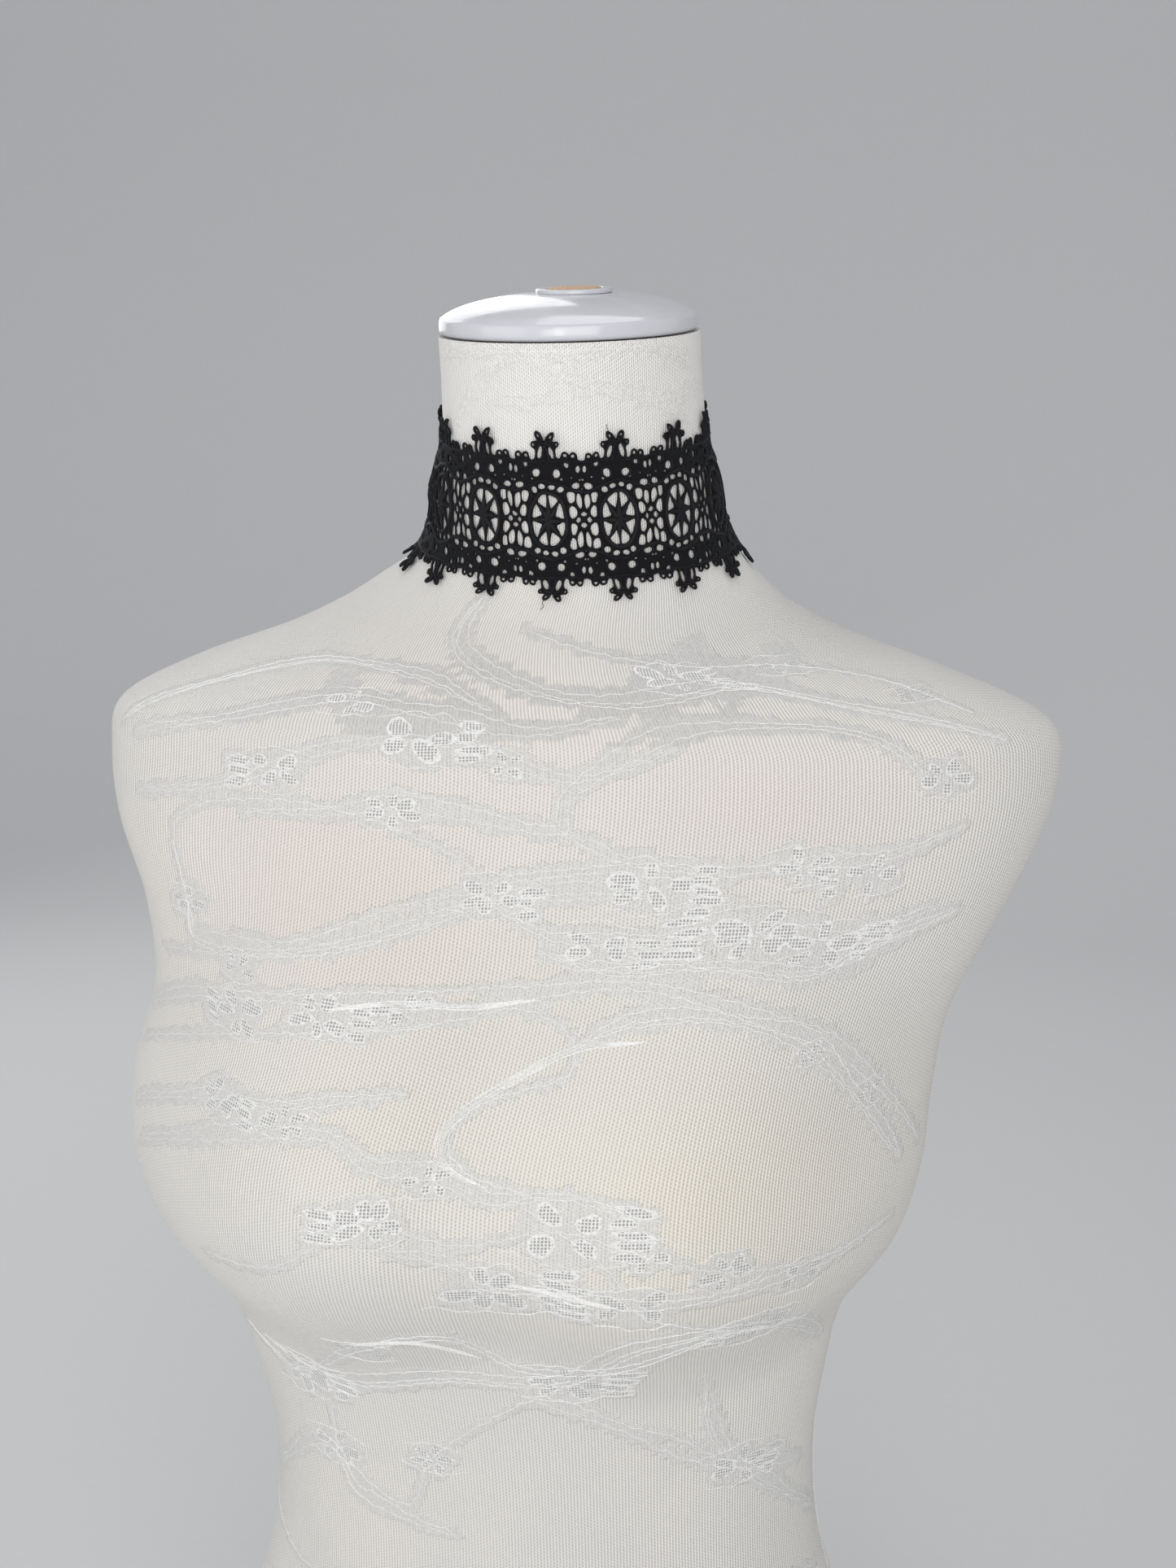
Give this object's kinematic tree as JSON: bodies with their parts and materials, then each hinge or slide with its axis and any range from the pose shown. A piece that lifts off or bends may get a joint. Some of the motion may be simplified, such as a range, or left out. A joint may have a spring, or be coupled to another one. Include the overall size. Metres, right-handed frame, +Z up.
{
  "type": "lace choker on a dress form",
  "caption": "Wide black lace choker with crown-shaped edging, closed by a clasp round the neck of a limbless, lace-covered dress form with a domed neck cap.",
  "frame": {"origin": "middle of the bounding box, on the plane that the form stands on", "axes": "+Z up along the neck, -Y is the front of the form, +X is the viewer's right when facing its front"},
  "size_m": [0.4006, 0.2484, 0.7118],
  "materials": {
    "cover": "off-white stretch lace, matte",
    "cap": "white, polished",
    "plug": "bare, turned",
    "lace": "black embroidery thread, slight sheen",
    "metal": "dark plated wire"
  },
  "bodies": {
    "root": {"form_body": "cover", "neck_cap": "cap", "cap_ring": "cap", "cap_plug": "plug", "lace_left": "lace", "lace_right": "lace", "ring_left": "metal", "ring_right": "metal", "clasp": "metal"}
  },
  "joints": []
}
